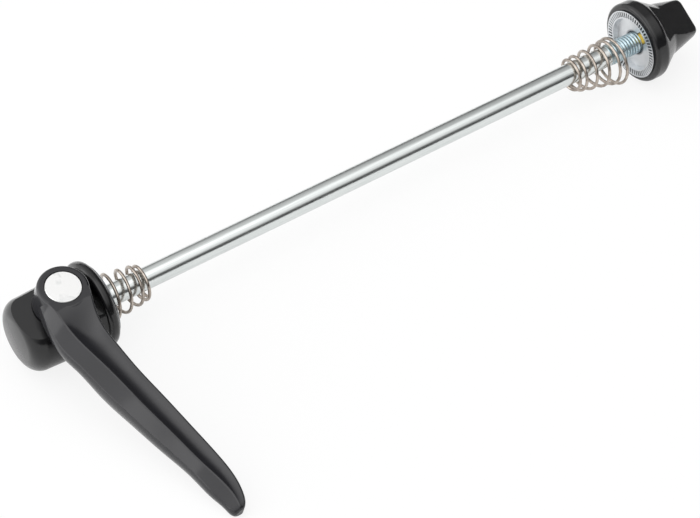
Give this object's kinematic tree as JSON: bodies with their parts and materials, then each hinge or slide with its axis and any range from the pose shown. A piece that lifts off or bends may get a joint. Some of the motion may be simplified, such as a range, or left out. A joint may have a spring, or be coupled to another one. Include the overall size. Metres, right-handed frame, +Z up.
{
  "type": "quick release skewer",
  "caption": "Wheel quick release skewer: steel rod with a cam lever in a flanged black housing, conical springs and a serrated thumb nut that screws along the rod.",
  "frame": {"origin": "on the rod's axis at the plane of the serrated clamp face on the lever side", "axes": "+X along the rod from the lever to the nut, +Z up with the skewer lying closed on a flat surface, the lever pointing to -Y"},
  "size_m": [0.1861, 0.0716, 0.0231],
  "materials": {
    "housing": "gloss black",
    "clamp_face": "bright, serrated",
    "washer": "satin",
    "cam": "ground",
    "lever": "gloss charcoal",
    "cap": "polished",
    "rod": "bright drawn",
    "spring": "drawn wire",
    "nut": "gloss black",
    "pellet": "moulded"
  },
  "bodies": {
    "housing": {"cam_housing": "housing", "lever_clamp_ring": "clamp_face", "lever_spring": "spring", "pivot_washer": "washer"},
    "lever": {"lever": "lever", "cam_shaft": "cam", "pivot_cap": "cap", "retaining_ring": "cam"},
    "rod": {"skewer_rod": "rod"},
    "nut_carrier": {"nut_spring": "spring"},
    "nut": {"nut_body": "nut", "nut_clamp_insert": "clamp_face", "nut_lock_pellet": "pellet"}
  },
  "joints": [
    {"name": "lever_pivot", "type": "hinge", "parent": "housing", "child": "lever", "pos_m": [-0.0098, 0, 0], "axis": [0, 0.2126, -0.9771], "range_deg": [0, 170]},
    {"name": "rod_draw", "type": "slide", "parent": "housing", "child": "rod", "axis": [1, 0, 0], "range_m": [-0.00005, 0.00227]},
    {"name": "nut_travel", "type": "slide", "parent": "rod", "child": "nut_carrier", "axis": [1, 0, 0], "range_m": [-0.0065, 0.0041]},
    {"name": "nut_turn", "type": "hinge", "parent": "nut_carrier", "child": "nut", "pos_m": [0.1477, 0, 0], "axis": [1, 0, 0], "range_deg": [-2880, 1800]}
  ],
  "couplings": [
    {"joint": "rod_draw", "follows": "lever_pivot", "m_per_rad": 0.00076394},
    {"joint": "nut_travel", "follows": "nut_turn", "m_per_rad": 0.00012732}
  ]
}
